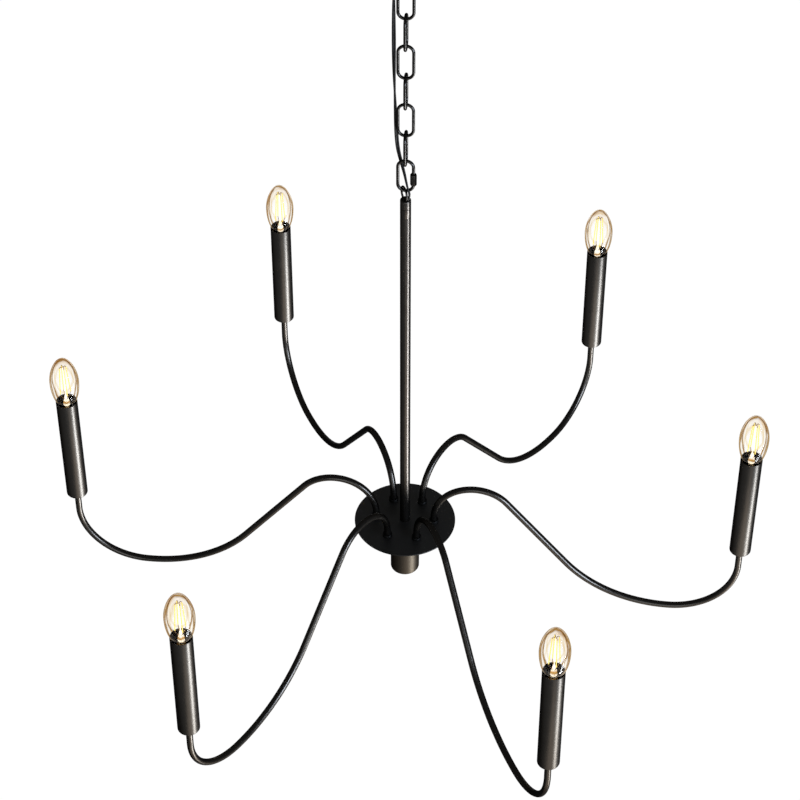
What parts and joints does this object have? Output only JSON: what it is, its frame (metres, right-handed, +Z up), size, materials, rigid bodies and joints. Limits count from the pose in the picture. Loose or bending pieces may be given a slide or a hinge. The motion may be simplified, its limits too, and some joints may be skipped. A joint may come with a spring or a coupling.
{
  "type": "multi arm chandelier",
  "caption": "Chandelier with curved metal arms that carry candle sleeves and clear filament bulbs, hung by a stem and link chain from a ceiling canopy.",
  "frame": {"origin": "centre of the ceiling plane, at the top face of the crossbar", "axes": "+Z up along the stem, +X along one arm and along the crossbar"},
  "size_m": [0.8352, 0.728, 0.9664],
  "materials": {
    "black_metal": "satin black coat",
    "sleeve_metal": "satin dark bronze coat",
    "chain_metal": "satin black coat on steel wire",
    "plated_steel": "zinc plate",
    "socket_plastic": "moulded",
    "bulb_glass": "clear",
    "bulb_base": "plain",
    "filament": "glowing",
    "lead_sheath": "plain",
    "connector_plastic": "moulded",
    "cord_sheath": "two twisted cores"
  },
  "bodies": {
    "ceiling_mount": {"ceiling_crossbar": "plated_steel", "canopy_nipple": "plated_steel", "crossbar_locknut": "plated_steel", "ceiling_canopy": "black_metal", "canopy_collar": "black_metal", "canopy_loop": "black_metal", "power_cord": "cord_sheath"},
    "link_1": {"chain_link_1": "chain_metal"},
    "link_2": {"chain_link_2": "chain_metal"},
    "link_3": {"chain_link_3": "chain_metal"},
    "link_4": {"chain_link_4": "chain_metal"},
    "link_5": {"chain_link_5": "chain_metal"},
    "link_6": {"chain_link_6": "chain_metal"},
    "link_7": {"chain_link_7": "chain_metal"},
    "quick_link": {"quick_link": "chain_metal"},
    "quick_link_nut": {"quick_link_nut": "chain_metal"},
    "chandelier": {"stem_loop": "black_metal", "stem_tube": "black_metal", "hub_plate": "black_metal", "wiring_pan": "black_metal", "centre_nipple": "plated_steel", "hub_nut": "plated_steel", "bottom_cup": "black_metal", "arm_1": "black_metal", "arm_2": "black_metal", "arm_3": "black_metal", "arm_4": "black_metal", "arm_5": "black_metal", "arm_6": "black_metal", "arm_collars": "black_metal", "arm_nuts": "plated_steel", "candle_sleeve_1": "sleeve_metal", "candle_sleeve_2": "sleeve_metal", "candle_sleeve_3": "sleeve_metal", "candle_sleeve_4": "sleeve_metal", "candle_sleeve_5": "sleeve_metal", "candle_sleeve_6": "sleeve_metal", "candle_nuts": "sleeve_metal", "socket_posts": "plated_steel", "lamp_sockets": "socket_plastic", "lamp_leads": "lead_sheath", "wire_connectors": "connector_plastic"},
    "bulb_1_base": {"bulb_base_1": "bulb_base"},
    "bulb_1": {"bulb_glass_1": "bulb_glass", "bulb_filament_1": "filament"},
    "bulb_2_base": {"bulb_base_2": "bulb_base"},
    "bulb_2": {"bulb_glass_2": "bulb_glass", "bulb_filament_2": "filament"},
    "bulb_3_base": {"bulb_base_3": "bulb_base"},
    "bulb_3": {"bulb_glass_3": "bulb_glass", "bulb_filament_3": "filament"},
    "bulb_4_base": {"bulb_base_4": "bulb_base"},
    "bulb_4": {"bulb_glass_4": "bulb_glass", "bulb_filament_4": "filament"},
    "bulb_5_base": {"bulb_base_5": "bulb_base"},
    "bulb_5": {"bulb_glass_5": "bulb_glass", "bulb_filament_5": "filament"},
    "bulb_6_base": {"bulb_base_6": "bulb_base"},
    "bulb_6": {"bulb_glass_6": "bulb_glass", "bulb_filament_6": "filament"}
  },
  "joints": [
    {"name": "link_1_swing", "type": "hinge", "parent": "ceiling_mount", "child": "link_1", "pos_m": [0, 0, -0.0555], "axis": [1, 0, 0], "range_deg": [-15, 15], "deforming": ["power_cord"]},
    {"name": "link_2_swing", "type": "hinge", "parent": "link_1", "child": "link_2", "pos_m": [0, 0, -0.0922], "axis": [0, 1, 0], "range_deg": [-15, 15], "deforming": ["power_cord"]},
    {"name": "link_3_swing", "type": "hinge", "parent": "link_2", "child": "link_3", "pos_m": [0, 0, -0.1292], "axis": [1, 0, 0], "range_deg": [-15, 15], "deforming": ["power_cord"]},
    {"name": "link_4_swing", "type": "hinge", "parent": "link_3", "child": "link_4", "pos_m": [0, 0, -0.1662], "axis": [0, 1, 0], "range_deg": [-15, 15], "deforming": ["power_cord"]},
    {"name": "link_5_swing", "type": "hinge", "parent": "link_4", "child": "link_5", "pos_m": [0, 0, -0.2032], "axis": [1, 0, 0], "range_deg": [-15, 15], "deforming": ["power_cord"]},
    {"name": "link_6_swing", "type": "hinge", "parent": "link_5", "child": "link_6", "pos_m": [0, 0, -0.2402], "axis": [0, 1, 0], "range_deg": [-15, 15], "deforming": ["power_cord"]},
    {"name": "link_7_swing", "type": "hinge", "parent": "link_6", "child": "link_7", "pos_m": [0, 0, -0.2772], "axis": [1, 0, 0], "range_deg": [-15, 15], "deforming": ["power_cord"]},
    {"name": "quick_link_swing", "type": "hinge", "parent": "link_7", "child": "quick_link", "pos_m": [0, 0, -0.3142], "axis": [0, 1, 0], "range_deg": [-15, 15], "deforming": ["power_cord"]},
    {"name": "chandelier_swing", "type": "hinge", "parent": "quick_link", "child": "chandelier", "pos_m": [0, 0, -0.3504], "axis": [1, 0, 0], "range_deg": [-15, 15], "deforming": ["power_cord"]},
    {"name": "quick_link_nut_slide", "type": "slide", "parent": "quick_link", "child": "quick_link_nut", "axis": [0, 0, 1], "range_m": [0, 0.009]},
    {"name": "bulb_1_rise", "type": "slide", "parent": "chandelier", "child": "bulb_1_base", "axis": [0, 0, 1], "range_m": [0, 0.00763]},
    {"name": "bulb_1_turn", "type": "hinge", "parent": "bulb_1_base", "child": "bulb_1", "pos_m": [0.4, 0, -0.71795], "axis": [0, 0, 1], "range_deg": [0, 1080]},
    {"name": "bulb_2_rise", "type": "slide", "parent": "chandelier", "child": "bulb_2_base", "axis": [0, 0, 1], "range_m": [0, 0.00763]},
    {"name": "bulb_2_turn", "type": "hinge", "parent": "bulb_2_base", "child": "bulb_2", "pos_m": [0.2, 0.34641, -0.71795], "axis": [0, 0, 1], "range_deg": [0, 1080]},
    {"name": "bulb_3_rise", "type": "slide", "parent": "chandelier", "child": "bulb_3_base", "axis": [0, 0, 1], "range_m": [0, 0.00763]},
    {"name": "bulb_3_turn", "type": "hinge", "parent": "bulb_3_base", "child": "bulb_3", "pos_m": [-0.2, 0.34641, -0.71795], "axis": [0, 0, 1], "range_deg": [0, 1080]},
    {"name": "bulb_4_rise", "type": "slide", "parent": "chandelier", "child": "bulb_4_base", "axis": [0, 0, 1], "range_m": [0, 0.00763]},
    {"name": "bulb_4_turn", "type": "hinge", "parent": "bulb_4_base", "child": "bulb_4", "pos_m": [-0.4, 0, -0.71795], "axis": [0, 0, 1], "range_deg": [0, 1080]},
    {"name": "bulb_5_rise", "type": "slide", "parent": "chandelier", "child": "bulb_5_base", "axis": [0, 0, 1], "range_m": [0, 0.00763]},
    {"name": "bulb_5_turn", "type": "hinge", "parent": "bulb_5_base", "child": "bulb_5", "pos_m": [-0.2, -0.34641, -0.71795], "axis": [0, 0, 1], "range_deg": [0, 1080]},
    {"name": "bulb_6_rise", "type": "slide", "parent": "chandelier", "child": "bulb_6_base", "axis": [0, 0, 1], "range_m": [0, 0.00763]},
    {"name": "bulb_6_turn", "type": "hinge", "parent": "bulb_6_base", "child": "bulb_6", "pos_m": [0.2, -0.34641, -0.71795], "axis": [0, 0, 1], "range_deg": [0, 1080]}
  ],
  "couplings": [
    {"joint": "bulb_1_rise", "follows": "bulb_1_turn", "m_per_rad": 0.00040425},
    {"joint": "bulb_2_rise", "follows": "bulb_2_turn", "m_per_rad": 0.00040425},
    {"joint": "bulb_3_rise", "follows": "bulb_3_turn", "m_per_rad": 0.00040425},
    {"joint": "bulb_4_rise", "follows": "bulb_4_turn", "m_per_rad": 0.00040425},
    {"joint": "bulb_5_rise", "follows": "bulb_5_turn", "m_per_rad": 0.00040425},
    {"joint": "bulb_6_rise", "follows": "bulb_6_turn", "m_per_rad": 0.00040425}
  ]
}
